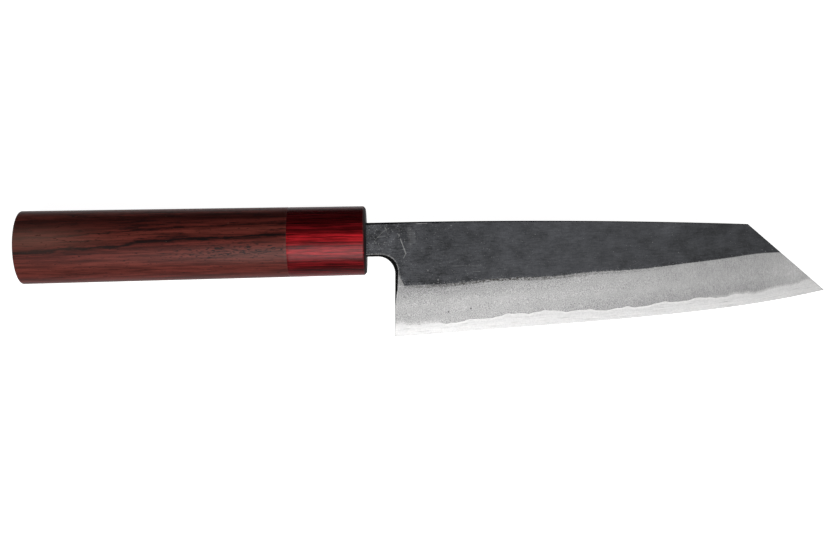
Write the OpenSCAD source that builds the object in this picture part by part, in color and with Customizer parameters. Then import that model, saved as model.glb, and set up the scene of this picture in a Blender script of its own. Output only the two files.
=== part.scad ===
// Kitchen knife with a laminated blade, an angled tip and an oval wooden handle.
// Units are millimetres. The knife lies on its left side on z = 0, the tip towards +X.
// Every piece is first made in the blade's own frame, and lying() then lays it down:
// there X runs along the handle's axis towards the tip from the ferrule's front face,
// Y points to the spine, Z out of the right face, and z = 0 is the blade's middle plane.

/* [Blade] */
// Length of the cutting edge, heel to tip, along the handle's axis
blade_len = 165.7; // [130:0.1:210]
// Height of the blade at the heel, from edge to spine
heel_h = 44; // [38:0.5:54]
// How far the spine comes down to the corner of the tip
spine_drop = 3.45; // [1:0.05:6]
// Length of straight spine in front of the handle, before it starts to drop
spine_straight = 15; // [10:1:50]
// Angle of the cut tip, from the handle's axis
tip_angle = 41.8; // [32:0.1:50]
// Rise of the edge if it ran straight from heel to tip
edge_rise = 9.15; // [5:0.05:12]
// Further rise that the belly of the edge takes up towards the tip
edge_belly = 5.45; // [3:0.05:8]
// Height of the ground bevel above the edge
bevel_h = 19.5; // [14:0.1:24]
// Lean of the heel's back face, from the edge up to the choil
heel_lean = 0.6; // [0:0.1:2]

/* [Thickness of the steel] */
// Thickness of the spine at the handle
spine_t = 3.7; // [2.8:0.1:5]
// Thickness lost for each 100 mm towards the tip
taper_along = 1.4; // [0.8:0.1:1.6]
// Thickness lost for each 100 mm from the spine down to the bevel
taper_down = 1.7; // [0:0.1:2]
// Thickness of the hard core at the heel
core_t = 0.9; // [0.7:0.05:1.1]
// Core thickness lost for each 100 mm towards the tip
core_taper = 0.28; // [0.1:0.02:0.3]
// Thickness left at the cutting edge
edge_t = 0.2; // [0.15:0.05:0.3]

/* [Neck and tang] */
// Length of bare neck between the ferrule and the heel
neck_len = 10.3; // [8:0.1:14]
// Height of the neck
neck_h = 13; // [11:0.1:16]
// How far the middle of the neck lies above the handle's axis
neck_rise = 0.25; // [0:0.05:1]
// Radius between the neck's underside and the heel's back face
choil_r = 6.7; // [2:0.1:7]
// Length of the tang inside the handle
tang_len = 66; // [50:1:80]
// Step from the neck's underside up to the tang
shoulder_h = 1.25; // [1.05:0.05:2]
// Height of the tang at its end
tang_end_h = 6; // [4:0.1:8]
// Thickness of the tang
tang_t = 2.8; // [2:0.1:3]

/* [Handle] */
// Length of the whole handle, butt to ferrule front
handle_len = 133.5; // [110:0.5:162]
// Length of the ferrule
ferrule_len = 29.7; // [24:0.1:36]
// Height of the oval at the butt
butt_h = 28.2; // [25:0.1:33.8]
// Thickness of the oval at the butt
butt_t = 22.2; // [20:0.1:26.7]
// Height of the oval at the ferrule's front
front_h = 26.55; // [23:0.05:30]
// Thickness of the oval at the ferrule's front
front_t = 20.9; // [18.5:0.1:24]
// How far the butt bulges in its middle
butt_dome = 0.8; // [0.2:0.1:4]
// Radius of the rounded rim at the butt
butt_r = 0.6; // [0.4:0.1:2]
// Chamfer round the ferrule's front
front_chamfer = 1; // [0.4:0.1:1.5]

/* [Inside the handle] */
// Wall of the dowel beside the corners of the tang's slot
dowel_wall = 0.9; // [0.7:0.1:1.5]
// Solid wood of the dowel behind the end of the tang's slot
dowel_end = 6.8; // [4:0.2:12]
// Thickness of the ferrule's front wall
front_wall = 5; // [3:0.5:8]
// Thickness of the resin on each side of the tang
bedding_gap = 0.7; // [0.4:0.1:1]
// Depth of the wax in the ferrule's mouth
seal_depth = 1.5; // [1:0.1:2.5]

/* [Hidden] */
$fn = 64;

steel_grey = [0.78, 0.78, 0.78];
forge_black = [0.28, 0.28, 0.29];
ferrule_red = [0.45, 0.06, 0.08];
rosewood = [0.34, 0.15, 0.12];
pale_wood = [0.80, 0.66, 0.46];
resin_amber = [0.55, 0.40, 0.20];
wax_black = [0.08, 0.07, 0.07];

// Outline of the blade
heel_x = neck_len;
tip_x = neck_len + blade_len;
spine_y = neck_rise + neck_h / 2;
under_y = neck_rise - neck_h / 2;
heel_y = spine_y - heel_h;
edge_power = 5;
function edge_share(x) = (x - heel_x) / blade_len;
function edge_y(x) = heel_y + edge_rise * edge_share(x) + edge_belly * pow(max(edge_share(x), 0), edge_power);
tip_y = edge_y(tip_x);
corner_y = spine_y - spine_drop;
corner_x = tip_x - (corner_y - tip_y) / tan(tip_angle);
// The spine drops along a circle that starts level and ends at the corner of the tip.
spine_run = corner_x - spine_straight;
spine_r = (spine_run * spine_run + spine_drop * spine_drop) / (2 * spine_drop);
spine_turn = asin(spine_run / spine_r);
spine_steps = 16;
edge_steps = 40;

// Half of the steel's thickness on the forged faces, which are two flat planes
along = taper_along / 200;
down = taper_down / 200;
function flat_half(x, y) = spine_t / 2 - along * x - down * (spine_y - y);
function bevel_top(x) = edge_y(x) + bevel_h;

// Half of the core's thickness, also two flat planes
core_slope = core_taper / 200;
function core_half(x) = core_t / 2 - core_slope * (x - heel_x);

// Room around the blade for the tools that cut it
margin = 5;
reach = 2 * (blade_len + handle_len);

// Handle. The tang lies on its axis, so it is as high as the lower of the neck's two halves allows.
oval_sides = 72;
rim_steps = 5;
dome_steps = 8;
rim_x = -handle_len + butt_dome;
tang_h = 2 * (-under_y - shoulder_h);
function oval_h(x) = front_h + (butt_h - front_h) * (-x) / handle_len;
function oval_t(x) = front_t + (butt_t - front_t) * (-x) / handle_len;
slot_h = tang_h + 2 * bedding_gap;
slot_t = tang_t + 2 * bedding_gap;
slot_back = -(tang_len + bedding_gap);
dowel_d = norm([slot_h, slot_t]) + 2 * dowel_wall;
dowel_back = slot_back - dowel_end;

// Lying down: the tip end points a little down, and the knife rolls until the belly of its
// edge touches z = 0, as the rim of the ferrule does. Each step brings the roll nearer.
nose_down = 1.15;
touch_x = heel_x + 0.59 * blade_len;
rim_h = oval_h(-front_chamfer);
rim_t = oval_t(-front_chamfer);
settle_steps = 6;
function rim_depth(roll) = norm([rim_h / 2 * sin(roll), rim_t / 2 * cos(roll)]);
function lift_at(roll) = rim_depth(roll) * cos(nose_down) - front_chamfer * sin(nose_down);
function edge_drop(roll) = lift_at(roll) - touch_x * sin(nose_down) - edge_t / 2 * cos(roll);
function next_roll(roll) = asin(edge_drop(roll) / (-edge_y(touch_x) * cos(nose_down)));
function settled(roll, steps) = steps == 0 ? roll : settled(next_roll(roll), steps - 1);
roll = settled(12, settle_steps);
lift = lift_at(roll);
butt_half_y = norm([butt_h / 2 * cos(roll), butt_t / 2 * sin(roll)]);
centre_x = (tip_x - handle_len) / 2 * cos(nose_down);
centre_y = (butt_half_y + heel_y * cos(roll)) / 2;

// Lays a piece down on z = 0, with the origin under the middle of the whole knife.
module lying() {
    translate([-centre_x, -centre_y, lift])
        rotate([0, nose_down, 0])
            rotate([roll, 0, 0])
                children();
}

// Outline of the blade and its neck, seen on the right face. The neck starts at x = 0.
function spine_points() = [
    for (i = [0 : spine_steps])
        let (turn = spine_turn * i / spine_steps)
            [spine_straight + spine_r * sin(turn), spine_y - spine_r * (1 - cos(turn))]
];
function edge_points() = [
    for (i = [edge_steps : -1 : 0])
        let (x = heel_x + blade_len * i / edge_steps)
            [x, edge_y(x)]
];
choil_steps = 8;
choil_x = heel_x + heel_lean;
function choil_points() = [
    for (i = [0 : choil_steps])
        let (turn = 90 * i / choil_steps)
            [choil_x - choil_r + choil_r * cos(turn), under_y - choil_r + choil_r * sin(turn)]
];

module blade_outline() {
    polygon(concat([[0, spine_y]], spine_points(), edge_points(), choil_points(), [[0, under_y]]));
}

module tang_outline() {
    polygon([
        [0, tang_h / 2], [0, -tang_h / 2],
        [-tang_len, -tang_end_h / 2], [-tang_len, tang_end_h / 2]
    ]);
}

// All the steel between two heights, before it is tapered and ground.
module steel_slab(low, high) {
    translate([0, 0, low])
        linear_extrude(height = high - low)
            blade_outline();
}

// A block whose underside is the plane z = at0 - fall_x * x - fall_y * (spine_y - y).
module above_plane(at0, fall_x, fall_y) {
    translate([0, spine_y, at0])
        rotate([0, atan(fall_x), 0])
            rotate([-asin(fall_y / norm([fall_x, fall_y, 1])), 0, 0])
                translate([-reach / 2, -reach / 2, 0])
                    cube([reach, reach, spine_t * 3]);
}

// What the grinding takes off the right side: above a surface that is straight from the top
// of the bevel down to the cutting edge at every place along the blade.
grind_steps = 32;
grind_start = 0;
grind_end = tip_x + margin;
function grind_x(i) = grind_start + (grind_end - grind_start) * i / grind_steps;
function grind_ring(x) =
    let (
        top_half = flat_half(x, bevel_top(x)),
        slope = (top_half - edge_t / 2) / bevel_h
    )
    [
        [x, edge_y(x) - margin, edge_t / 2 - slope * margin],
        [x, bevel_top(x), top_half],
        [x, bevel_top(x), spine_t],
        [x, edge_y(x) - margin, spine_t]
    ];
module ground_away() {
    rings = [for (i = [0 : grind_steps]) grind_ring(grind_x(i))];
    points = [for (ring = rings) for (p = ring) p];
    sides = [
        for (i = [0 : grind_steps - 1]) for (k = [0 : 3])
            let (a = 4 * i + k, b = 4 * i + (k + 1) % 4)
                for (face = [[a, b + 4, b], [a, a + 4, b + 4]]) face
    ];
    last = 4 * grind_steps;
    ends = [[1, 2, 3], [0, 1, 3], [last + 2, last + 1, last], [last + 3, last + 2, last]];
    polyhedron(points = points, faces = concat(sides, ends), convexity = 4);
}

// Both forged faces and both bevels, as one tool for the whole thickness.
module outer_cuts(side) {
    mirror([0, 0, side < 0 ? 1 : 0]) {
        above_plane(spine_t / 2, along, down);
        ground_away();
    }
}

module core_planes() {
    for (side = [1, -1])
        mirror([0, 0, side < 0 ? 1 : 0])
            above_plane(core_half(0), core_slope, 0);
}

// Hard steel core, which reaches from the tang to the cutting edge.
module core_steel() {
    color(steel_grey)
        lying()
            union() {
                difference() {
                    steel_slab(-core_t, core_t);
                    core_planes();
                    outer_cuts(1);
                    outer_cuts(-1);
                }
                difference() {
                    translate([0, 0, -core_t])
                        linear_extrude(height = 2 * core_t)
                            tang_outline();
                    core_planes();
                }
            }
}

// One soft iron cladding, forge welded to the core. It shares the tang with it.
module cladding() {
    difference() {
        union() {
            difference() {
                steel_slab(0, spine_t);
                outer_cuts(1);
            }
            linear_extrude(height = tang_t / 2)
                tang_outline();
        }
        difference() {
            translate([-tang_len - margin, -reach / 2, -spine_t])
                cube([reach, reach, 3 * spine_t]);
            above_plane(core_half(0), core_slope, 0);
        }
    }
}

module right_cladding() {
    color(forge_black)
        lying()
            cladding();
}

module left_cladding() {
    color(forge_black)
        lying()
            mirror([0, 0, 1])
                cladding();
}

// A closed shell through oval rings, each given as [x, height, thickness].
module oval_loft(rings) {
    count = len(rings);
    points = [
        for (ring = rings) for (k = [0 : oval_sides - 1])
            let (turn = 360 * k / oval_sides)
                [ring[0], ring[1] / 2 * cos(turn), ring[2] / 2 * sin(turn)]
    ];
    sides = [
        for (i = [0 : count - 2]) for (k = [0 : oval_sides - 1])
            let (a = i * oval_sides + k, b = i * oval_sides + (k + 1) % oval_sides)
                for (face = [[a, a + oval_sides, b + oval_sides], [a, b + oval_sides, b]]) face
    ];
    first_end = [for (k = [0 : oval_sides - 1]) k];
    last_end = [for (k = [oval_sides - 1 : -1 : 0]) (count - 1) * oval_sides + k];
    polyhedron(points = points, faces = concat(sides, [first_end], [last_end]), convexity = 4);
}

// A round hole or peg along the handle's axis.
module along_axis(d, from_x, to_x) {
    translate([from_x, 0, 0])
        rotate([0, 90, 0])
            cylinder(d = d, h = to_x - from_x);
}

// The slot that takes the tang and its resin.
module tang_slot(from_x, to_x) {
    translate([from_x, -slot_h / 2, -slot_t / 2])
        cube([to_x - from_x, slot_h, slot_t]);
}

module tang_space() {
    translate([0, 0, -tang_t / 2])
        linear_extrude(height = tang_t)
            tang_outline();
}

// Dyed laminated wood ferrule, drilled from behind for the dowel and slotted at the front.
module ferrule() {
    color(ferrule_red)
        lying()
            difference() {
                oval_loft([
                    [-ferrule_len, oval_h(-ferrule_len), oval_t(-ferrule_len)],
                    [-front_chamfer, oval_h(-front_chamfer), oval_t(-front_chamfer)],
                    [0, front_h - 2 * front_chamfer, front_t - 2 * front_chamfer]
                ]);
                along_axis(dowel_d, -ferrule_len - margin, -front_wall);
                tang_slot(-front_wall - margin, margin);
            }
}

// Turned and sanded wooden body with a slightly domed butt and a blind hole in front.
module handle_body() {
    color(rosewood)
        lying()
            difference() {
                oval_loft(concat(
                    [
                        for (i = [0.5 : dome_steps - 0.5])
                            let (share = i / dome_steps, x = -handle_len + butt_dome * share * share)
                            [x, share * (oval_h(rim_x) - 2 * butt_r), share * (oval_t(rim_x) - 2 * butt_r)]
                    ],
                    [
                        for (i = [0 : rim_steps])
                            let (
                                turn = 90 * i / rim_steps,
                                x = rim_x + butt_r * (1 - cos(turn)),
                                inset = butt_r * (1 - sin(turn))
                            )
                            [x, oval_h(x) - 2 * inset, oval_t(x) - 2 * inset]
                    ],
                    [[-ferrule_len, oval_h(-ferrule_len), oval_t(-ferrule_len)]]
                ));
                along_axis(dowel_d, dowel_back, -ferrule_len + margin);
            }
}

// Wooden dowel, glued into the ferrule and the body, slotted for the tang.
module dowel() {
    color(pale_wood)
        lying()
            difference() {
                along_axis(dowel_d, dowel_back, -front_wall);
                tang_slot(slot_back, margin);
            }
}

// Resin that fills the slot around the tang.
module tang_bedding() {
    color(resin_amber)
        lying()
            difference() {
                tang_slot(slot_back, -seal_depth);
                tang_space();
            }
}

// Black wax that closes the ferrule's mouth around the tang.
module mouth_seal() {
    color(wax_black)
        lying()
            difference() {
                tang_slot(-seal_depth, 0);
                tang_space();
            }
}

core_steel();
right_cladding();
left_cladding();
ferrule();
handle_body();
dowel();
tang_bedding();
mouth_seal();
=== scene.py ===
# Kitchen knife with a laminated blade, an angled tip, a red laminated ferrule and a rosewood handle.
# It lies on its left side and the camera looks squarely at the blade's right face. Sizes are millimetres
# and angles are radians.
import math

import bmesh
import bpy
import numpy as np
from mathutils import Matrix


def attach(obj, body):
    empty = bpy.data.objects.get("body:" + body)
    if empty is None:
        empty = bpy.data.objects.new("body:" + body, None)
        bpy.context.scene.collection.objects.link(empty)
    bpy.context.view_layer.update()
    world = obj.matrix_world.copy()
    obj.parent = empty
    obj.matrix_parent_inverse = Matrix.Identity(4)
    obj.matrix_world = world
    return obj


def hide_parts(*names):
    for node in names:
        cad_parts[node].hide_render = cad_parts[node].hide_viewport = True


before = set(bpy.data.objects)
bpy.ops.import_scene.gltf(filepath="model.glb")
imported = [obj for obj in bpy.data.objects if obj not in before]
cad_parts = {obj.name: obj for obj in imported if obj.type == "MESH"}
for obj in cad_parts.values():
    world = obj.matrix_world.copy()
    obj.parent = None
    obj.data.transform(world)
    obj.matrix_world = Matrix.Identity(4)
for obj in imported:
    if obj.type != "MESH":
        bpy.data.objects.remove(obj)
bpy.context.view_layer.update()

# Core steel
# The hard middle layer of the blade, which runs from the end of the tang to the cutting edge. It shows
# only as the polished strip along the edge, below the wavy line where the softer iron was ground away.
blade_len = 165.7
heel_h = 44.0
spine_drop = 3.45
spine_straight = 15.0
tip_angle = math.radians(41.8)
edge_rise = 9.15
edge_belly = 5.45
edge_power = 5
bevel_h = 19.3
heel_lean = 0.6
spine_t = 3.7
taper_along = 0.014
taper_down = 0.017
core_t = 0.9
core_taper = 0.0028
core_strip_h = 4.6
edge_t = 0.2
neck_len = 10.3
neck_h = 13.0
neck_rise = 0.25
choil_r = 6.7
tang_len = 66.0
tang_h = 10.0
tang_end_h = 6.0
tang_t = 2.8
handle_len = 133.5
butt_h = 28.16
butt_t = 22.2
front_h = 26.55
front_t = 20.9
front_chamfer = 1.0
touch_share = 0.59
nose_down = math.radians(1.15)

heel_x = neck_len
choil_x = heel_x + heel_lean
tip_x = heel_x + blade_len
spine_y = neck_rise + neck_h / 2
under_y = neck_rise - neck_h / 2
heel_y = spine_y - heel_h
choil_y = under_y - choil_r
tip_y = heel_y + edge_rise + edge_belly
corner_y = spine_y - spine_drop
corner_x = tip_x - (corner_y - tip_y) / math.tan(tip_angle)
spine_run = corner_x - spine_straight
spine_r = (spine_run ** 2 + spine_drop ** 2) / (2 * spine_drop)


def edge_at(x):
    """Height of the cutting edge: a straight rise from heel to tip plus a belly that grows as the fifth
    power."""
    share = np.clip((x - heel_x) / blade_len, 0, 1)
    return heel_y + edge_rise * share + edge_belly * share ** edge_power


def spine_at(x):
    """Height of the spine: level, then down along a circle that starts level."""
    run = np.maximum(x - spine_straight, 0)
    return spine_y - spine_r + np.sqrt(spine_r ** 2 - run ** 2)


def cut_tip_at(x):
    """Height of the straight cut from the corner of the spine down to the tip."""
    return tip_y + (tip_x - x) * math.tan(tip_angle)


def top_at(x):
    """Upper outline of the blade: the spine, or the cut tip where that is lower."""
    return np.minimum(spine_at(x), cut_tip_at(x))


def bevel_at(x):
    """Upper line of the ground bevel: a fixed height above the edge, a little wavy, lower near the
    tip."""
    share = np.clip((x - heel_x) / blade_len, 0, 1)
    wave = 0.28 * np.cos((x - 13) / 6.05) * np.clip((130 - x) / 30, 0, 1)
    return edge_at(x) + bevel_h + wave - 2 * np.clip((share - 0.82) / 0.1, 0, 1) ** 2


def lamination_at(x):
    """Wavy line where the iron ends and the core comes out: three waves about a fixed height above the
    edge, and two short ones that come and go."""
    wave = 0.55 * np.sin(x / 9.7 + 7.71) + 0.35 * np.sin(x / 2.34 + 3.36) + 0.31 * np.sin(x / 16.63 + 3.58)
    ripple = 0.16 * np.sin(x / 0.93 + 0.7) * np.sin(x / 7.1)
    ripple += 0.12 * np.sin(x / 0.64 + 2.2) * np.cos(x / 5.3)
    return edge_at(x) + core_strip_h + wave + ripple


def rim_rounding(distance, radius):
    """Depth that a quarter-round rim takes off a face at a distance from its edge."""
    inside = np.clip(radius - distance, 0, radius)
    return radius - np.sqrt(np.maximum(radius ** 2 - inside ** 2, 0))


def choil_distance(x, y):
    """Distance from the neck's underside, the round corner below it or the heel's back face."""
    back = choil_x - heel_lean * np.clip((choil_y - y) / (choil_y - heel_y), 0, 1)
    from_centre = np.hypot(x - (choil_x - choil_r), y - choil_y) - choil_r
    return np.where(y < choil_y, x - back, np.where(x < choil_x - choil_r, y - under_y, from_centre))


def spine_distance(x, y):
    """Distance from the spine or from the cut tip."""
    return np.minimum(spine_at(x) - y, (cut_tip_at(x) - y) * math.cos(tip_angle))


def choil_band_at(x, y):
    """Width of the rounded band round the choil that is painted black, partly black scale and partly painted
    shade on the rounding. It grows along the neck's underside, is widest in the corner and runs out down the
    heel's back face."""
    under = np.interp(x, [0, 5, 10], [0.7, 0.8, 1.45])
    down = np.interp(-y, [8.5, 19, 25.5], [1.45, 1, 0])
    return np.where(y > -8.5, under, down)


def waves(x, y, seed, count, shortest, longest):
    """Sum of plane waves with random direction, phase and length, scaled to a spread of about one."""
    draw = np.random.default_rng(seed)
    total = np.zeros_like(x)
    for length, turn, phase in zip(draw.uniform(shortest, longest, count),
                                   draw.uniform(0, math.pi, count), draw.uniform(0, 2 * math.pi, count)):
        total += np.sin(2 * math.pi / length * (x * math.cos(turn) + y * math.sin(turn)) + phase)
    return total * math.sqrt(2 / count)


def steel_half(x, y):
    """Half of the steel's thickness: two slightly tapered forged faces down to the bevel's upper line,
    then straight down to the edge. The forged faces undulate, and the rims at the spine and the choil are
    round."""
    forged = spine_t / 2 - taper_along / 2 * x - taper_down / 2 * (spine_y - y)
    line = bevel_at(x)
    at_line = spine_t / 2 - taper_along / 2 * x - taper_down / 2 * (spine_y - line)
    share = np.clip((y - edge_at(x)) / (line - edge_at(x)), 0, 1)
    ground = edge_t / 2 + (at_line - edge_t / 2) * share
    from_spine = spine_distance(x, y)
    from_choil = choil_distance(x, y)
    calm = np.clip((y - line) / 2, 0, 1) * np.clip(from_spine / 2, 0, 1) * np.clip(from_choil / 2, 0, 1)
    hammered = 0.02 * (waves(x, y, 3, 30, 4, 16) - 1.5) * calm
    half = np.where(y > line, forged + hammered, ground)
    choil_round = np.clip(0.85 * choil_band_at(x, y), 0.03, 1.3)
    spine_round = np.interp(x, [0, 20, 140], [0.7, 0.4, 0.15])
    taken = np.maximum(rim_rounding(from_spine, spine_round), rim_rounding(from_choil, choil_round))
    half = half - np.minimum(taken, 0.6 * half)
    return np.where(x < 0, tang_t / 2, half)


def core_half(x, y):
    """Half of the core's thickness: a slow taper to the tip, bent so that it meets the ground bevel along
    the wavy line, and the bevel itself below that line."""
    line = np.minimum(lamination_at(x), top_at(x))
    flat = core_t / 2 - core_taper / 2 * (x - heel_x)
    bend = (steel_half(x, line) - flat) * np.exp(-np.maximum(y - line, 0) / 5)
    above = np.minimum(flat + bend * (x > 0), steel_half(x, y) - 0.01 * np.clip(y - line, 0, 1))
    return np.where((y > line) | (x < 0), above, steel_half(x, y))


rim_rows = np.array([0, 0.04, 0.12, 0.24, 0.42, 0.7])
choil_rows = np.array([1.6, 1.3, 1.0, 0.7, 0.45, 0.25, 0.1, 0])


def row_heights(x, level):
    """Heights of the rows at x. Levels 0 to 1 run from the spine's rim to the choil's corner, 1 to 2 to
    the bevel, 2 to 3 to the wavy line and 3 to 4 to the edge. Rows that would pass the cut tip stop at
    its rim."""
    room = np.clip((top_at(x) - edge_at(x)) / 2, 0, 1)
    under_rim = spine_at(x) - rim_rows[-1]
    share = (spine_y - rim_rows[-1] - choil_y) / (spine_y - rim_rows[-1] - bevel_at(choil_x))
    choil_line = under_rim + (bevel_at(x) - under_rim) * share
    lines = np.stack([under_rim, choil_line, bevel_at(x), lamination_at(x), edge_at(x)])
    below = np.clip(np.floor(level).astype(int), 0, 3)
    upper = np.take_along_axis(lines, below[None], 0)[0]
    lower = np.take_along_axis(lines, below[None] + 1, 0)[0]
    height = upper + (lower - upper) * (level - below)
    return np.minimum(height, top_at(x) - rim_rows[-1] * room)


def blade_grid(last_level):
    """Grid of (x, y) over the blade from its back face to the tip, down to the given level. Columns lean
    with the heel's back face, and one passes through the corner of the tip."""
    near = choil_x + choil_rows[::-1]
    along = np.linspace(near[-1], corner_x, 265)[1:]
    tip = np.linspace(corner_x, tip_x, 72)[1:]
    columns = np.concatenate([near, along, tip])
    choil_run = spine_y - rim_rows[-1] - choil_y
    levels = np.concatenate([np.linspace(0, 1 - 2.0 / choil_run, 32), 1 - choil_rows / choil_run,
                             np.linspace(1, 2, 15)[1:], np.linspace(2, 3, 32)[1:],
                             4 - np.linspace(1, 0, 14)[1:] ** 1.3])
    levels = levels[levels <= last_level + 1e-9]
    x = np.tile(columns, (len(levels) + len(rim_rows) - 1, 1))
    for _ in range(2):
        room = np.clip((top_at(x) - edge_at(x)) / 2, 0, 1)
        y_rim = top_at(x[:len(rim_rows) - 1]) - rim_rows[:-1, None] * room[:len(rim_rows) - 1]
        level = np.tile(levels[:, None], (1, len(columns)))
        y = np.concatenate([y_rim, row_heights(x[len(rim_rows) - 1:], level)])
        if last_level < 4:
            y = np.maximum(y, np.minimum(lamination_at(x), top_at(x)))
        back = choil_x - heel_lean * np.clip((choil_y - y) / (choil_y - heel_y), 0, 1)
        x = back + (tip_x - back) * (columns - choil_x) / (tip_x - choil_x)
    return np.stack([x, y], -1)


def neck_grid():
    """Grid of (x, y) over the tang and the neck, whose last column is the first one of the blade's
    grid."""
    tang = np.concatenate([np.linspace(-tang_len, -1, 24), [-0.02]])
    straight = np.linspace(0, choil_x - choil_r, 14)
    corner = choil_x - choil_r + choil_r * np.sin(np.linspace(0, math.pi / 2, 15)[1:])
    columns = np.concatenate([tang, straight, corner])
    tang_half = tang_h / 2 + (tang_end_h - tang_h) / 2 * np.clip(-columns / tang_len, 0, 1)
    upper = np.where(columns < 0, tang_half, spine_y)
    from_centre = np.clip(columns - (choil_x - choil_r), 0, choil_r)
    lower = np.where(columns < 0, -tang_half, choil_y + np.sqrt(choil_r ** 2 - from_centre ** 2))
    choil_run = spine_y - rim_rows[-1] - choil_y
    levels = np.concatenate([np.linspace(0, 1 - 2.0 / choil_run, 32), 1 - choil_rows / choil_run])[:, None]
    body = upper - rim_rows[-1] + (lower - upper + rim_rows[-1]) * levels
    y = np.concatenate([upper - rim_rows[:-1, None], body])
    return np.stack([np.tile(columns, (len(y), 1)), y], -1)


def sheet(*grids):
    """Joins grids of (x, y) along the points that they share. Returns the points and the four-sided
    faces."""
    faces = []
    start = 0
    for grid in grids:
        rows, columns = grid.shape[:2]
        index = np.arange(start, start + rows * columns).reshape(rows, columns)
        corners = [index[:-1, :-1], index[1:, :-1], index[1:, 1:], index[:-1, 1:]]
        faces.append(np.stack(corners, -1).reshape(-1, 4))
        start += rows * columns
    points = np.concatenate([grid.reshape(-1, 2) for grid in grids])
    _, first, joined = np.unique(np.round(points, 4), axis=0, return_index=True, return_inverse=True)
    return points[first], joined.reshape(-1)[np.concatenate(faces)]


def settled_roll():
    """Roll at which the belly of the edge and the rim of the ferrule lie on the floor together, by
    steps."""
    touch_x = heel_x + touch_share * blade_len
    roll = math.radians(12)
    for _ in range(6):
        drop = lift_at(roll) - touch_x * math.sin(nose_down) - edge_t / 2 * math.cos(roll)
        roll = math.asin(drop / (-edge_at(touch_x) * math.cos(nose_down)))
    return roll


def oval_at(x):
    """Half height and half thickness of the handle's oval, which tapers from the butt to the ferrule's
    front."""
    share = -x / handle_len
    return (front_h + (butt_h - front_h) * share) / 2, (front_t + (butt_t - front_t) * share) / 2


def lift_at(roll):
    """Height of the handle's axis over the floor where the ferrule's rim touches it."""
    half_h, half_t = oval_at(-front_chamfer)
    depth = math.hypot(half_h * math.sin(roll), half_t * math.cos(roll))
    return depth * math.cos(nose_down) - front_chamfer * math.sin(nose_down)


roll = settled_roll()


def lie_down(place):
    """Turns points of the blade's own frame by the roll and the nose, sets them down on the floor with
    the middle of the knife over the origin, and turns millimetres to metres."""
    x, y, z = place[..., 0], place[..., 1], place[..., 2]
    across = y * math.cos(roll) - z * math.sin(roll)
    up = y * math.sin(roll) + z * math.cos(roll)
    ahead = x * math.cos(nose_down) + up * math.sin(nose_down)
    up = -x * math.sin(nose_down) + up * math.cos(nose_down)
    butt_half = math.hypot(butt_h / 2 * math.cos(roll), butt_t / 2 * math.sin(roll))
    centre_x = (tip_x - handle_len) / 2 * math.cos(nose_down)
    centre_y = (butt_half + heel_y * math.cos(roll)) / 2
    return np.stack([ahead - centre_x, across - centre_y, up + lift_at(roll)], -1) / 1000


def make_piece(name, place, faces, material, **fields):
    """Makes a mesh object from points in the blade's own frame. Equal points are merged, so that seams
    and poles are closed. The points are kept as the attribute "place", and each field as one of its
    own."""
    same = faces == np.roll(faces, -1, axis=1)
    whole = faces[same.sum(1) == 0]
    three = same.sum(1) == 1
    triangles = faces[three][~same[three]].reshape(-1, 3)
    mesh = bpy.data.meshes.new(name)
    mesh.from_pydata(lie_down(place).tolist(), [], whole.tolist() + triangles.tolist())
    attribute = mesh.attributes.new("place", "FLOAT_VECTOR", "POINT")
    attribute.data.foreach_set("vector", place.astype(np.float32).ravel())
    for field, values in fields.items():
        attribute = mesh.attributes.new(field, "FLOAT", "POINT")
        attribute.data.foreach_set("value", values.astype(np.float32))
    work = bmesh.new()
    work.from_mesh(mesh)
    bmesh.ops.remove_doubles(work, verts=work.verts, dist=1e-7)
    work.to_mesh(mesh)
    work.free()
    mesh.shade_smooth()
    mesh.set_sharp_from_angle(angle=math.radians(40))
    mesh.materials.append(material)
    piece = bpy.data.objects.new(name, mesh)
    bpy.context.scene.collection.objects.link(piece)
    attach(piece, "root")
    return piece


def make_slab(name, points, faces, upper, lower, material, **fields):
    """Makes a closed slab: a sheet at the upper height, its reverse at the lower one, and a wall between
    them along every open edge of the sheet."""
    count = len(points)
    edges = np.stack([faces, np.roll(faces, -1, axis=1)], -1).reshape(-1, 2)
    edges = edges[edges[:, 0] != edges[:, 1]]
    opened = edges[~np.isin(edges @ [count, 1], edges @ [1, count])]
    start, end = opened[:, 0], opened[:, 1]
    walls = np.stack([end, start, start + count, end + count], -1)
    place = np.concatenate([np.column_stack([points, upper]), np.column_stack([points, lower])])
    doubled = {field: np.tile(values, 2) for field, values in fields.items()}
    skin = np.concatenate([faces, faces[:, ::-1] + count, walls])
    return make_piece(name, place, skin, material, **doubled)


def tone(code):
    """Turns an sRGB hex colour to the linear one that a shader takes."""
    parts = np.array([int(code[i:i + 2], 16) for i in (1, 3, 5)]) / 255
    linear = np.where(parts <= 0.04045, parts / 12.92, ((parts + 0.055) / 1.055) ** 2.4)
    return (*linear, 1.0)


def feed(tree, node, inputs):
    """Sets a node's inputs to values, or links them to outputs. A node given as an input stands for its
    first output that is in use."""
    for socket, value in inputs.items():
        if isinstance(value, bpy.types.Node):
            value = next(output for output in value.outputs if output.enabled)
        if isinstance(value, bpy.types.NodeSocket):
            tree.links.new(value, node.inputs[socket])
        else:
            node.inputs[socket].default_value = value


def add(tree, kind, inputs=None, stops=None, **settings):
    """Adds a shader node with its settings and inputs. Stops are a colour ramp's places and colours."""
    made = tree.nodes.new("ShaderNode" + kind)
    for name, value in settings.items():
        setattr(made, name, value)
    for place, colour in stops or ():
        end = place in (stops[0][0], stops[-1][0])
        element = made.color_ramp.elements[0 if place == stops[0][0] else -1] if end else \
            made.color_ramp.elements.new(place)
        element.position = place
        element.color = colour
    feed(tree, made, inputs or {})
    return made


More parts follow.
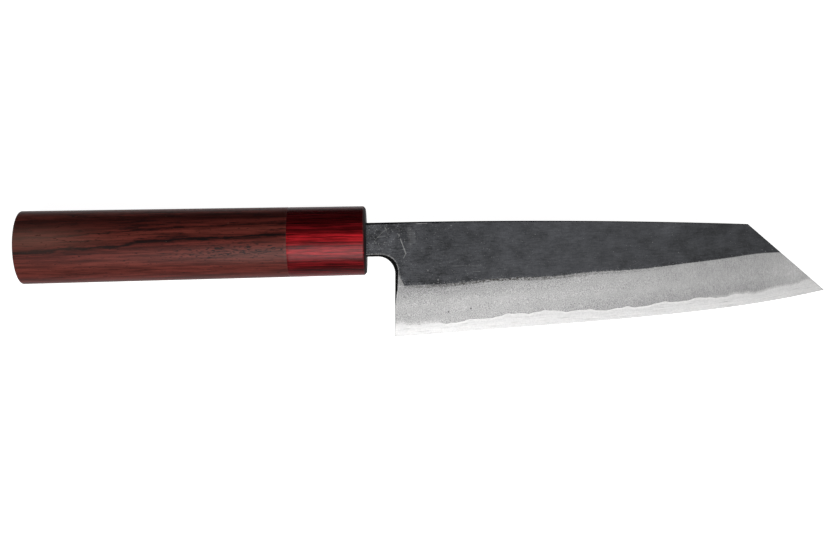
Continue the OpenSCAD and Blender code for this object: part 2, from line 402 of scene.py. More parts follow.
def stretched_noise(tree, place, pull, detail, roughness=0.5):
    """Noise with grains of about one millimetre, each direction of which is first multiplied by its pull:
    a small one draws the grains out, and a large one makes them narrow."""
    pulled = add(tree, "VectorMath", {0: place, 1: pull}, operation="MULTIPLY")
    return add(tree, "TexNoise", {"Vector": pulled, "Scale": 1.0, "Detail": detail, "Roughness": roughness})


def new_material(name, **values):
    """Starts a material with one principled shader whose fixed values are given. Returns its tree and
    shader."""
    material = bpy.data.materials.new(name)
    material.use_nodes = True
    tree = material.node_tree
    shader = tree.nodes["Principled BSDF"]
    for socket, value in values.items():
        shader.inputs[socket.replace("_", " ")].default_value = value
    return material, tree, shader


def polished_core_steel():
    """Hardened carbon steel, ground lengthwise on a fine stone: pale, a little greyer in the middle of its
    length, with hair-fine lengthwise lines. At the spine and the choil it is painted dark, partly the forge's
    black scale and partly painted shade on those rims."""
    material, tree, shader = new_material("polished core steel", Metallic=1.0)
    place = add(tree, "Attribute", attribute_name="place").outputs["Vector"]
    level = add(tree, "Attribute", attribute_name="tone").outputs["Fac"]
    over_edge = add(tree, "Attribute", attribute_name="edge_mm").outputs["Fac"]
    along = add(tree, "SeparateXYZ", {0: place})
    strokes = add(tree, "CombineXYZ", {0: along, 1: over_edge})
    lines = stretched_noise(tree, strokes, (1 / 9, 1 / 0.35, 1), 3.0, 0.6)
    grit = add(tree, "TexNoise", {"Vector": place, "Scale": 1.8, "Detail": 2.0})
    both = add(tree, "Math", {0: lines, 1: grit}, operation="ADD")
    change = add(tree, "MapRange", {"Value": both, "From Min": 0.7, "From Max": 1.3, "To Min": -0.09,
                                    "To Max": 0.09})
    shown = add(tree, "Math", {0: level, 1: change}, operation="ADD")
    stroke = add(tree, "MapRange", {"Value": lines, "From Min": 0.4, "From Max": 0.32, "To Max": 0.22})
    shown = add(tree, "Math", {0: shown, 1: stroke}, operation="SUBTRACT")
    colour = add(tree, "ValToRGB", {"Fac": shown}, stops=[(0.0, tone("#8a8a8b")), (1.0, tone("#fbfaf9"))])
    # The core's own faces at the spine and round the choil are painted dark: partly the forge's black scale,
    # partly painted shade on those rounded rims.
    scaled = add(tree, "Attribute", attribute_name="scaled").outputs["Fac"]
    scale_and_shade_darkened = add(tree, "Mix", {"Factor": scaled, "A": colour, "B": tone("#242528")}, data_type="RGBA")
    rough = add(tree, "MapRange", {"Value": lines, "To Min": 0.36, "To Max": 0.46})
    bump = add(tree, "Bump", {"Height": both, "Strength": 0.15, "Distance": 0.00003})
    feed(tree, shader, {"Base Color": scale_and_shade_darkened, "Roughness": rough, "Normal": bump})
    return material


def core_tone_at(x, y):
    """Brightness of the core, 0 to 1, along the blade: higher right under the wavy line, a little lower
    below that, and lowest at the very edge near the heel."""
    below = np.maximum(lamination_at(x) - y, 0)
    along = np.interp(x, [20, 75, 150], [0.55, 0.49, 0.59])
    at_edge = 0.3 * np.exp(-((y - edge_at(x)) / 0.15) ** 2) * np.clip((45 - x) / 20, 0, 1)
    crisp = np.clip((x - 24) / 10, 0, 1) * np.clip((150 - x) / 25, 0, 1)
    seam = (0.2 * crisp - 0.06) * np.exp(-(below / 0.5) ** 2) - 0.05 * np.exp(-((below - 1.3) / 0.6) ** 2)
    return along + seam - at_edge


def scale_and_shade_on_core_at(x, y):
    """Where the core's own faces are painted dark, along the spine and round the choil: partly the forge's
    black scale, partly painted shade.
    """
    at_spine = (spine_at(x) - y < 1) & (x < corner_x + 1)
    return (at_spine | ((choil_band_at(x, y) > 0.5) & (x < choil_x + 1))).astype(float)


core_points, core_faces = sheet(blade_grid(4), neck_grid())
core_x, core_y = core_points[:, 0], core_points[:, 1]
core_upper = core_half(core_x, core_y)
core = make_slab("core_steel_blade", core_points, core_faces, core_upper, -core_upper,
                 polished_core_steel(), tone=core_tone_at(core_x, core_y), edge_mm=core_y - edge_at(core_x),
                 scaled=scale_and_shade_on_core_at(core_x, core_y))
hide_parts("core_steel")

# Claddings
# A soft iron layer forge welded to each side of the core. The upper part keeps the black scale of the
# forge, and the bevel below it is ground bare and matt, down to the wavy line where the core comes out.

# Scratches and worn spots in the scale: two ends (x, y), width and strength.
scratches = (
    ((12.6, 1.9), (12.75, 1.6), 0.3, 0.5), ((13.2, 0.25), (14.53, -3.6), 0.16, 0.75),
    ((14.53, -3.6), (15.14, -5.35), 0.2, 0.6), ((15.14, -5.35), (14.22, -7.06), 0.14, 0.5),
    ((3.8, 0.4), (6.0, 2.7), 0.12, 0.3), ((6.0, 2.7), (8.5, 4.4), 0.1, 0.25),
    ((4.3, 1.1), (7.7, 1.5), 0.12, 0.28), ((7.0, 5.4), (8.1, 3.0), 0.1, 0.25),
    ((19.3, 6.03), (23.5, 6.05), 0.13, 0.7), ((33.2, -10.5), (44.3, -10.6), 0.08, 0.2),
    ((40.8, -12.7), (43.5, -12.8), 0.08, 0.3), ((16.6, 4.4), (17.0, -2.2), 0.7, 0.09),
    ((18.2, 3.0), (18.4, -1.0), 0.6, 0.08), ((23.5, -12.0), (23.5, -12.1), 0.25, 0.5),
    ((27.3, -15.7), (27.4, -15.8), 0.25, 0.6), ((32.7, 5.0), (32.8, 5.0), 0.2, 0.5))
# Single deep pits in the bare bevel.
pits = ((31.06, -28.14), (39.7, -27.0), (19.6, -35.4))


def near_scratch(tree, place, start, end):
    """Distance in millimetres from the straight scratch between two points (x, y) on the blade."""
    run = np.array([end[0] - start[0], end[1] - start[1], 0.0])
    flat = add(tree, "VectorMath", {0: place, 1: (1, 1, 0)}, operation="MULTIPLY")
    away = add(tree, "VectorMath", {0: flat, 1: (*start, 0)}, operation="SUBTRACT")
    share = add(tree, "VectorMath", {0: away, 1: tuple(run / (run @ run))}, operation="DOT_PRODUCT")
    held = add(tree, "Math", {0: share, 1: 0.0}, operation="ADD", use_clamp=True)
    nearest = add(tree, "VectorMath", {0: tuple(run), "Scale": held}, operation="SCALE")
    return add(tree, "VectorMath", {0: away, 1: nearest}, operation="DISTANCE")


def forge_scale(tree, place, cloud, speck):
    """Colour of the forge scale: clouds, brush marks and specks about the tone of the place, with worn dots
    and scratches over them."""
    above, scale_tone, unrest = (add(tree, "Attribute", attribute_name=name).outputs["Fac"]
                                 for name in ("scale_mm", "scale_tone", "unrest"))
    brush = stretched_noise(tree, place, (0.35, 1.7, 0.5), 4.0, 0.65)
    mixed = scale_tone
    for pattern, low, high in ((cloud, -0.4, 0.4), (brush, -0.35, 0.35), (speck, -0.35, 0.35)):
        centred = add(tree, "MapRange", {"Value": pattern, "To Min": low, "To Max": high})
        mixed = add(tree, "Math", {0: centred, 1: unrest, 2: mixed}, operation="MULTIPLY_ADD")
    dark = add(tree, "ValToRGB", {"Fac": mixed}, stops=[(0.0, tone("#16181c")), (1.0, tone("#75777d"))])
    dots = add(tree, "TexNoise", {"Vector": place, "Scale": 2.6, "Detail": 1.0, "Roughness": 0.3})
    worn = add(tree, "Math", {0: unrest, 1: 0.075, 2: dots}, operation="MULTIPLY_ADD")
    by_border = add(tree, "MapRange", {"Value": above, "From Min": 1.6, "From Max": 0.1, "To Max": 0.1})
    worn = add(tree, "Math", {0: worn, 1: by_border}, operation="ADD")
    dotted = add(tree, "MapRange", {"Value": worn, "From Min": 0.82, "From Max": 0.88, "To Max": 0.55})
    for start, end, width, strength in scratches:
        distance = near_scratch(tree, place, start, end)
        mark = add(tree, "MapRange", {"Value": distance, "From Min": 0.4 * width, "From Max": 1.6 * width,
                                      "To Min": strength, "To Max": 0.0})
        broken = add(tree, "Math", {0: mark, 1: brush}, operation="MULTIPLY")
        dotted = add(tree, "Math", {0: broken, 1: 1.8, 2: dotted}, operation="MULTIPLY_ADD")
    return add(tree, "Mix", {"Factor": dotted, "A": dark, "B": tone("#c9c9c8")}, data_type="RGBA")


def ground_iron(tree, place, cloud, grain, edge):
    """Colour of the bare bevel: a blasted grain, fading to upright hairs towards the tip, with a pitted strip
    under the scale's border and a few single pits."""
    bare_tone, upright, pitting = (add(tree, "Attribute", attribute_name=name).outputs["Fac"]
                                   for name in ("bare_tone", "upright", "pitting"))
    hairs = stretched_noise(tree, place, (3.2, 0.7, 1), 2.0)
    either = add(tree, "Mix", {"Factor": upright, "A": grain, "B": hairs})
    swing = add(tree, "MapRange", {"Value": either, "From Min": 0.2, "From Max": 0.8, "To Min": -0.46,
                                   "To Max": 0.46})
    calm = add(tree, "Math", {0: 1.0, 1: upright}, operation="SUBTRACT")
    shown = add(tree, "Math", {0: swing, 1: calm, 2: bare_tone}, operation="MULTIPLY_ADD")
    clouded = add(tree, "MapRange", {"Value": cloud, "From Min": 0.3, "From Max": 0.7, "To Min": -0.03,
                                     "To Max": 0.03})
    shown = add(tree, "Math", {0: shown, 1: clouded}, operation="ADD")
    bare = add(tree, "ValToRGB", {"Fac": shown}, stops=[(0.0, tone("#6c6c6d")), (1.0, tone("#f4f3f2"))])
    inside = add(tree, "Math", {0: edge, 1: 0.95}, operation="ADD")
    strip = add(tree, "MapRange", {"Value": inside, "From Min": -0.15, "From Max": 0.15})
    off_line = add(tree, "Math", {0: inside}, operation="ABSOLUTE")
    line = add(tree, "MapRange", {"Value": off_line, "From Max": 0.3, "To Min": 0.8, "To Max": 0.0})
    pit = stretched_noise(tree, place, (1.1, 1.9, 1.0), 3.0, 0.8)
    deep = add(tree, "MapRange", {"Value": pit, "From Min": 0.46, "From Max": 0.58})
    pitted = add(tree, "Math", {0: strip, 1: 0.35, 2: line}, operation="MULTIPLY_ADD")
    holes = add(tree, "Math", {0: strip, 1: deep}, operation="MULTIPLY")
    pitted = add(tree, "Math", {0: pitted, 1: pit}, operation="MULTIPLY")
    pitted = add(tree, "Math", {0: pitted, 1: 1.2, 2: holes}, operation="MULTIPLY_ADD")
    pitted = add(tree, "Math", {0: pitted, 1: pitting}, operation="MULTIPLY", use_clamp=True)
    for spot in pits:
        distance = near_scratch(tree, place, spot, (spot[0] + 0.1, spot[1]))
        hole = add(tree, "MapRange", {"Value": distance, "From Min": 0.15, "From Max": 0.4, "To Min": 0.8,
                                      "To Max": 0.0})
        pitted = add(tree, "Math", {0: pitted, 1: hole}, operation="MAXIMUM")
    return add(tree, "Mix", {"Factor": pitted, "A": bare, "B": tone("#3b3937")}, data_type="RGBA")


def forged_and_ground_iron():
    """Soft iron: forge scale, a dark rough oxide, above the bevel's upper line, and matt bare metal below it.
    The border between them is ragged, and the rims at the spine and the choil are painted black with little
    reflection: partly black scale, partly painted shade on their rounding."""
    material, tree, shader = new_material("forged and ground iron")
    place = add(tree, "Attribute", attribute_name="place").outputs["Vector"]
    above, ragged, from_spine, spine_width, from_band = (
        add(tree, "Attribute", attribute_name=name).outputs["Fac"]
        for name in ("scale_mm", "ragged", "spine_mm", "spine_width", "band_mm"))
    tear = add(tree, "TexNoise", {"Vector": place, "Scale": 1.3, "Detail": 5.0, "Roughness": 0.65})
    torn = add(tree, "MapRange", {"Value": tear, "From Min": 0.3, "From Max": 0.7, "To Min": -1.0,
                                  "To Max": 1.0})
    tear_size = add(tree, "Math", {0: ragged, 1: 0.55}, operation="MULTIPLY")
    edge = add(tree, "Math", {0: torn, 1: tear_size, 2: above}, operation="MULTIPLY_ADD")
    scale = add(tree, "MapRange", {"Value": edge, "From Min": -0.14, "From Max": 0.14},
                interpolation_type="SMOOTHSTEP")
    cloud = add(tree, "TexNoise", {"Vector": place, "Scale": 0.16, "Detail": 4.0, "Roughness": 0.6})
    speck = add(tree, "TexNoise", {"Vector": place, "Scale": 1.9, "Detail": 4.0, "Roughness": 0.75})
    grain = add(tree, "TexNoise", {"Vector": place, "Scale": 3.6, "Detail": 2.0, "Roughness": 0.7})
    oxidised = forge_scale(tree, place, cloud, speck)
    bare = ground_iron(tree, place, cloud, grain, edge)
    colour = add(tree, "Mix", {"Factor": scale, "A": bare, "B": oxidised}, data_type="RGBA")
    # The rims at the spine and round the choil are painted near black and given little specular reflection:
    # partly the forge's black scale, partly painted shade on their rounding, which would otherwise catch the
    # lamp and the white table.
    at_spine = add(tree, "Math", {0: from_spine, 1: spine_width}, operation="SUBTRACT")
    spine_rim_scale_and_shade = add(tree, "MapRange", {"Value": at_spine, "From Min": -0.12, "From Max": 0.1, "To Min": 1.0,
                                       "To Max": 0.0})
    spine_rim_scale_and_shade = add(tree, "Math", {0: spine_rim_scale_and_shade, 1: scale}, operation="MULTIPLY")
    wobble = add(tree, "Math", {0: speck, 1: 0.5, 2: from_band}, operation="MULTIPLY_ADD")
    band = add(tree, "MapRange", {"Value": wobble, "From Min": 0.1, "From Max": 0.36, "To Min": 1.0,
                                  "To Max": 0.0})
    rim = add(tree, "Math", {0: spine_rim_scale_and_shade, 1: band}, operation="MAXIMUM")
    colour = add(tree, "Mix", {"Factor": rim, "A": colour, "B": tone("#0b0b0c")}, data_type="RGBA")
    beside = add(tree, "MapRange", {"Value": from_band, "From Min": 0.4, "From Max": 0.1, "To Max": 2.2})
    worn_rim = add(tree, "MapRange", {"Value": speck, "From Min": 0.44, "From Max": 0.54, "To Max": 0.9})
    glint = add(tree, "Math", {0: beside, 1: worn_rim}, operation="MULTIPLY", use_clamp=True)
    glint = add(tree, "Math", {0: glint, 1: band}, operation="SUBTRACT", use_clamp=True)
    colour = add(tree, "Mix", {"Factor": glint, "A": colour, "B": tone("#b4b4b4")}, data_type="RGBA")
    oxide = add(tree, "Math", {0: scale, 1: rim}, operation="MAXIMUM")
    metal = add(tree, "Math", {0: 1.0, 1: oxide}, operation="SUBTRACT")
    rough = add(tree, "MapRange", {"Value": oxide, "To Min": 0.46, "To Max": 0.56})
    height = add(tree, "Mix", {"Factor": oxide, "A": grain, "B": speck})
    bump = add(tree, "Bump", {"Height": height, "Strength": 0.35, "Distance": 0.0001})
    shine = add(tree, "MapRange", {"Value": rim, "To Min": 0.5, "To Max": 0.08})
    feed(tree, shader, {"Base Color": colour, "Metallic": metal, "Roughness": rough, "Normal": bump,
                        "Specular IOR Level": shine})
    return material


def scale_edge_at(x, y):
    """Signed distance from the border of the forge scale, above it on the plus side: a little under the
    bevel's upper line, and in front of the choil a short line that leans forward, behind which the iron
    is bare."""
    wedge = 0.91 * (x - 11.98) + 0.415 * (y + 12.78) + 3 * np.maximum(y + 12.5, 0)
    spill = np.interp(x, [12, 45, 100, 160], [0.35, 0.15, 0.7, 0.1])
    return np.minimum(y - bevel_at(x) + spill, wedge)


def cloud_at(x, y, middle_x, middle_y, reach_x, reach_y):
    """Soft round cloud, a bell curve in both directions."""
    return np.exp(-((x - middle_x) / reach_x) ** 2 - ((y - middle_y) / reach_y) ** 2)


def scale_tone_at(x, y):
    """Brightness of the forge scale, highest in the middle and lowest at the tip, plus lighter clouds."""
    along = np.interp(x, [0, 60, 90, 130], [0.26, 0.38, 0.35, 0.14])
    return (along + 0.14 * cloud_at(x, y, 118, 2.9, 9, 3) + 0.05 * cloud_at(x, y, 17.5, 1, 3, 4)
            + 0.04 * cloud_at(x, y, 3, 1, 4, 4))


def bare_tone_at(x, y):
    """Brightness of the bare bevel from its upper line down to the wavy line. It is dark under the scale
    near the heel and even further on, and darkest along the wavy line, except near the heel and the tip,
    where it fades into the core. Near the heel the rise from dark under the scale to bright lower down is
    partly painted shade, for a bevel that curves while this one is flat."""
    drop = bevel_at(x) - y
    share = np.clip(drop / (bevel_at(x) - lamination_at(x)), 0, 1)
    along = np.interp(x, [20, 85, 150, 165], [0.31, 0.37, 0.33, 0.45])
    # Near the heel, the dark top of the bevel and the brighter band lower down are partly painted shade,
    # standing in for a bevel that curves towards the edge.
    near_heel_tone_and_shade = np.interp(share, [0, 0.5, 1], [-0.14, 0.06, 0.03])
    further = np.interp(share, [0, 0.6, 0.9], [-0.03, 0.01, -0.08])
    blend = np.clip((x - 50) / 40, 0, 1)
    over = y - lamination_at(x)
    seam = 0.08 * np.exp(-(over / 0.25) ** 2) * np.clip((x - 24) / 10, 0, 1) * np.clip((145 - x) / 20, 0, 1)
    haze = 0.3 * np.exp(-(over / 0.7) ** 2) * np.clip((x - 125) / 20, 0, 1)
    haze += 0.2 * np.exp(-(over / 0.9) ** 2) * np.clip((32 - x) / 8, 0, 1)
    wedge = 0.2 * np.clip((y + 18.5) / 1.5, 0, 1) * np.clip((15 - x) / 1.5, 0, 1)
    return along + near_heel_tone_and_shade * (1 - blend) + further * blend - seam + haze + wedge


clad_points, clad_faces = sheet(blade_grid(3), neck_grid())
clad_x, clad_y = clad_points[:, 0], clad_points[:, 1]
outer = steel_half(clad_x, clad_y)
inner = core_half(clad_x, clad_y)
fields = {"scale_mm": scale_edge_at(clad_x, clad_y), "scale_tone": scale_tone_at(clad_x, clad_y),
          "bare_tone": bare_tone_at(clad_x, clad_y), "spine_mm": spine_distance(clad_x, clad_y),
          "ragged": np.interp(clad_x, [14, 50, 100, 140], [0.4, 0.9, 0.6, 0.05]),
          "pitting": np.interp(clad_x, [12, 20, 50, 80, 130], [0, 0.5, 0.95, 0.5, 0]),
          "unrest": np.interp(clad_x, [0, 20, 50, 150], [2.4, 1.6, 1.1, 0.7]),
          "upright": np.interp(clad_x, [85, 125], [0, 0.3]),
          "spine_width": np.interp(clad_x, [0, 20, 140], [0.85, 0.5, 0.2]),
          "band_mm": choil_distance(clad_x, clad_y) - choil_band_at(clad_x, clad_y)}
iron = forged_and_ground_iron()
for name, node, upper, lower in (("right_clad_iron", "right_cladding", outer, inner),
                                 ("left_clad_iron", "left_cladding", -inner, -outer)):
    cladding = make_slab(name, clad_points, clad_faces, upper, lower, iron, **fields)
    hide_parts(node)

# Ferrule
# Dyed and pressed birch veneers, turned to an oval, drilled from behind for the dowel and slotted in front.
ferrule_len = 29.7
front_wall = 5.0
bedding_gap = 0.7
dowel_wall = 0.9
seam_groove = 0.06
layer_reach = 14.0
slot_h = tang_h + 2 * bedding_gap
slot_t = tang_t + 2 * bedding_gap
dowel_r = math.hypot(slot_h, slot_t) / 2 + dowel_wall
ring_turn = np.linspace(0, 2 * math.pi, 160, endpoint=False)


def oval_ring(x, inset=0.0):
    """Ring round the handle's axis at x: the oval there, drawn in by the inset."""
    half_h, half_t = oval_at(x)
    return np.stack([np.full_like(ring_turn, x), (half_h - inset) * np.cos(ring_turn),
                     (half_t - inset) * np.sin(ring_turn)], -1)


def round_ring(x, radius):
    """Circle round the handle's axis at x."""
    return np.stack([np.full_like(ring_turn, x), radius * np.cos(ring_turn),
                     radius * np.sin(ring_turn)], -1)


def slot_ring(x):
    """Rectangle of the tang's slot at x: each direction is stretched until it meets a side."""
    sides, ends = np.cos(ring_turn), np.sin(ring_turn)
    reach = 1 / np.maximum(np.abs(sides) / (slot_h / 2), np.abs(ends) / (slot_t / 2))
    return np.stack([np.full_like(ring_turn, x), reach * sides, reach * ends], -1)


def make_loft(name, rings, material, ring_closed=False, **fields):
    """Joins rings in order into a closed skin. A ring of no size is a pole, and a closed path of rings,
    as in a tube with an inside, joins its last ring to its first."""
    place = np.stack(rings)
    count, sides = place.shape[:2]
    index = np.arange(count * sides).reshape(count, sides)
    onward = np.roll(index, -1, axis=0) if ring_closed else index[1:]
    here = index if ring_closed else index[:-1]
    faces = np.stack([here, np.roll(here, -1, 1), np.roll(onward, -1, 1), onward], -1).reshape(-1, 4)
    flat_fields = {field: values.reshape(-1) for field, values in fields.items()}
    return make_piece(name, place.reshape(-1, 3), faces, material, **flat_fields)


def layer_height(place, tilt):
    """Height of a point among flat layers that lie along the handle. Seen on the right face it is y, and
    the layers are tilted about the handle's axis, so that the back shows other ones."""
    x, y, z = place[..., 0], place[..., 1], place[..., 2]
    half_h, half_t = oval_at(x)
    face = half_t * np.sqrt(np.clip(1 - (y / half_h) ** 2, 0, 1))
    return y + tilt * (z - face)


def ramp_stops(stops):
    """Turns layers, each given as a height in millimetres and a colour, to the places of a colour ramp
    that reaches across the handle."""
    return [((height + layer_reach) / (2 * layer_reach), tone(code)) for height, code in stops]


def dyed_veneers():
    """Resin-pressed veneers dyed red and black, sanded and lacquered: crisp lengthwise lines of uneven width
    under a clear gloss. The front rim is painted near black and matt, partly dark end grain and partly
    painted shade."""
    material, tree, shader = new_material("dyed veneers", Specular_IOR_Level=0.24)
    place = add(tree, "Attribute", attribute_name="place").outputs["Vector"]
    layer = add(tree, "Attribute", attribute_name="layer").outputs["Fac"]
    sway = stretched_noise(tree, place, (1 / 14, 0.5, 0.5), 2.0)
    feather = stretched_noise(tree, place, (1 / 9, 1.5, 1.5), 3.0, 0.6)
    moved = add(tree, "Math", {0: sway, 1: 0.7, 2: layer}, operation="MULTIPLY_ADD")
    moved = add(tree, "Math", {0: feather, 1: 0.7, 2: moved}, operation="MULTIPLY_ADD")
    spread = add(tree, "MapRange", {"Value": moved, "From Min": 0.7 - layer_reach,
                                    "From Max": 0.7 + layer_reach})
    red, deep, dark = "#c4222b", "#82161c", "#4c0a0e"
    stops = ramp_stops((
        (-14, deep), (-11, dark), (-9, deep), (-6, deep), (-4.5, red), (-2, deep), (1.5, red), (4, dark),
        (5, deep), (7, dark), (11, dark), (14, deep)))
    colour = add(tree, "ValToRGB", {"Fac": spread}, stops=stops)
    fine = stretched_noise(tree, place, (1 / 22, 3.8, 3.8), 3.0, 0.65)
    mixed = add(tree, "Math", {0: feather, 1: 0.8, 2: fine}, operation="MULTIPLY_ADD")
    shade = add(tree, "MapRange", {"Value": mixed, "From Min": 0.7, "From Max": 1.1, "To Min": 0.2,
                                   "To Max": 1.8})
    lined = add(tree, "VectorMath", {0: colour, "Scale": shade}, operation="SCALE")
    thread = stretched_noise(tree, place, (1 / 40, 4.5, 4.5), 1.0)
    threaded = add(tree, "MapRange", {"Value": thread, "From Min": 0.58, "From Max": 0.66, "To Max": 0.75})
    lined = add(tree, "Mix", {"Factor": threaded, "A": lined, "B": tone("#1c0306")}, data_type="RGBA")
    along = add(tree, "SeparateXYZ", {0: place})
    # The front rim is painted near black and made rougher: partly the dark end grain, partly painted shade on
    # the rounded rim.
    front = add(tree, "MapRange", {"Value": along, "From Min": -1.08, "From Max": -0.45})
    dark_end_grain_and_shade = add(tree, "Mix", {"Factor": front, "A": lined, "B": tone("#14060a")}, data_type="RGBA")
    rough = add(tree, "MapRange", {"Value": front, "To Min": 0.27, "To Max": 0.6})
    bump = add(tree, "Bump", {"Height": fine, "Strength": 0.12, "Distance": 0.00008})
    feed(tree, shader, {"Base Color": dark_end_grain_and_shade, "Roughness": rough, "Normal": bump})
    return material


shoulder = np.linspace(-ferrule_len, -front_chamfer, 40)
rings = [round_ring(-ferrule_len, dowel_r), oval_ring(-ferrule_len, seam_groove)]
rings += [oval_ring(x) for x in shoulder[1:]]
rings += [oval_ring(-front_chamfer * (1 - share), front_chamfer * (0.35 * share + 0.65 * share ** 2))
          for share in np.linspace(0, 1, 7)[1:]]
rings += [slot_ring(0), slot_ring(-front_wall), round_ring(-front_wall, dowel_r)]
ferrule = make_loft("ferrule_turned", rings, dyed_veneers(), ring_closed=True,
                    layer=layer_height(np.stack(rings), 0.2))
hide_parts("ferrule")

# Handle body
# Rosewood, turned to the same oval as the ferrule, sanded and oiled, with a slightly domed butt and a
# blind hole in front for the dowel.
butt_dome = 0.79
butt_r = 0.6
rim_x = -handle_len + butt_dome + 0.01
dowel_end = 6.8
dowel_back = -(tang_len + bedding_gap + dowel_end)


def grain_height(place):
    """Height among the wood's growth layers: tilted flat layers that climb towards the ferrule in the
    handle's middle, more quickly at one place."""
    x, y = place[..., 0], place[..., 1]
    climb = np.interp(x, [-133, -93, -85, -30], [-0.2, 1.8, 3.2, 5])
    return layer_height(place, 0.36) - climb * (1 - (y / (butt_h / 2)) ** 2)


def oiled_rosewood():
    """Rosewood: red brown with black streaks along its growth layers, fine fibres, short open pores and a
    few light flecks, under a thin oil finish. Two pale patches are painted highlight."""
    material, tree, shader = new_material("oiled rosewood", Roughness=0.4, Specular_IOR_Level=0.24)
    place = add(tree, "Attribute", attribute_name="place").outputs["Vector"]
    layer = add(tree, "Attribute", attribute_name="layer").outputs["Fac"]
    sway = stretched_noise(tree, place, (1 / 26, 0.22, 0.22), 2.0)
    feather = stretched_noise(tree, place, (1 / 6, 1.3, 1.3), 4.0, 0.6)
    moved = add(tree, "Math", {0: sway, 1: 1.6, 2: layer}, operation="MULTIPLY_ADD")
    moved = add(tree, "Math", {0: feather, 1: 2.6, 2: moved}, operation="MULTIPLY_ADD")
    spread = add(tree, "MapRange", {"Value": moved, "From Min": 2.1 - layer_reach,
                                    "From Max": 2.1 + layer_reach})
    brown, warm, dark, black = "#652b25", "#71352d", "#491c18", "#1d0d0d"
    # The warm layer from 11 mm up, along the top of the handle's face, is partly painted light that lifts the
    # spine's side of the handle, which the lamp barely reaches.
    stops = ramp_stops((
        (-14, brown), (-8, warm), (-3, brown), (-2.5, black), (-2, black), (-1.5, brown), (1, warm),
        (2.5, brown), (3, black), (3.5, brown), (7, dark), (9.5, dark), (11, warm)))
    colour = add(tree, "ValToRGB", {"Fac": spread}, stops=stops)
    fibre = stretched_noise(tree, place, (1 / 9, 3.0, 3.0), 4.0, 0.65)
    streak = stretched_noise(tree, place, (1 / 24, 0.9, 0.9), 3.0)
    both = add(tree, "Math", {0: fibre, 1: streak}, operation="ADD")
    shade = add(tree, "MapRange", {"Value": both, "From Min": 0.82, "From Max": 1.18, "To Min": 0.6,
                                   "To Max": 1.55})
    lined = add(tree, "VectorMath", {0: colour, "Scale": shade}, operation="SCALE")
    vein = stretched_noise(tree, place, (1 / 15, 1.0, 1.0), 5.0, 0.7)
    most = add(tree, "MapRange", {"Value": moved, "From Min": -4.0, "From Max": 0.5, "To Min": 0.25,
                                  "To Max": 0.8})
    veined = add(tree, "MapRange", {"Value": vein, "From Min": 0.54, "From Max": 0.6, "To Max": most})
    lined = add(tree, "Mix", {"Factor": veined, "A": lined, "B": tone("#261213")}, data_type="RGBA")
    # A pale, greyish wash laid into the colour where the field "pale" is high: painted highlight.
    painted_highlight = add(tree, "Attribute", attribute_name="pale").outputs["Fac"]
    lined = add(tree, "Mix", {"Factor": painted_highlight, "A": lined, "B": tone("#a3786a")}, data_type="RGBA")
    dash = stretched_noise(tree, place, (1 / 1.8, 2.8, 2.8), 1.0, 0.4)
    patch = add(tree, "Attribute", attribute_name="porous").outputs["Fac"]
    open_pore = add(tree, "Math", {0: patch, 1: 0.18, 2: dash}, operation="MULTIPLY_ADD")
    pore = add(tree, "MapRange", {"Value": open_pore, "From Min": 0.69, "From Max": 0.74, "To Max": 0.9})
    pored = add(tree, "Mix", {"Factor": pore, "A": lined, "B": tone("#1d1010")}, data_type="RGBA")
    fleck = add(tree, "MapRange", {"Value": dash, "From Min": 0.19, "From Max": 0.16, "To Max": 0.6})
    flecked = add(tree, "Mix", {"Factor": fleck, "A": pored, "B": tone("#a98c80")}, data_type="RGBA")
    bump = add(tree, "Bump", {"Height": fibre, "Strength": 0.2, "Distance": 0.00008})
    feed(tree, shader, {"Base Color": flecked, "Normal": bump})
    return material


quarter = np.linspace(0, math.pi / 2, 9)
rings = [round_ring(rim_x - butt_dome, 0)]
for share in np.linspace(0, 1, 14)[1:-1]:
    rings.append(oval_ring(rim_x, butt_r) * [1, share, share] - [butt_dome * (1 - share ** 2), 0, 0])
rings += [oval_ring(rim_x + butt_r * (1 - math.cos(turn)), butt_r * (1 - math.sin(turn)))
          for turn in quarter]
rings += [oval_ring(x) for x in np.linspace(rim_x + butt_r, -ferrule_len - 0.1, 90)[1:]]
rings += [oval_ring(-ferrule_len, seam_groove), round_ring(-ferrule_len, dowel_r)]
rings += [round_ring(dowel_back, dowel_r), round_ring(dowel_back, 0)]
body_place = np.stack(rings)
body_x, body_y = body_place[..., 0], body_place[..., 1]
# Field "pale": painted highlight, a broad one near the butt and a faint one inside the lamp's band nearer the
# ferrule.
pale = 0.42 * cloud_at(body_x, body_y, -126, 2.8, 22, 4) + 0.12 * cloud_at(body_x, body_y, -42, -5, 20, 2.5)
body = make_loft("rosewood_body", rings, oiled_rosewood(), layer=grain_height(body_place),
                 porous=cloud_at(body_x, body_y, -51, -3.2, 24, 2.8), pale=pale)
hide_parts("handle_body")

# Dowel, bedding and wax
# Hidden in the handle: a pale wooden dowel that joins ferrule and body, resin round the tang, and black
# wax that closes the ferrule's mouth.


def plain_fill(name, low, high, size, roughness):
    """A filled or sawn surface, mottled between two tones at the given size."""
    material, tree, shader = new_material(name, Roughness=roughness)
    place = add(tree, "TexCoord").outputs["Object"]
    mottle = add(tree, "TexNoise", {"Vector": place, "Scale": 1000 / size, "Detail": 4.0})
    colour = add(tree, "ValToRGB", {"Fac": mottle}, stops=[(0.35, tone(low)), (0.65, tone(high))])
    bump = add(tree, "Bump", {"Height": mottle, "Strength": 0.3, "Distance": 0.0001})
    feed(tree, shader, {"Base Color": colour, "Normal": bump})
    return material


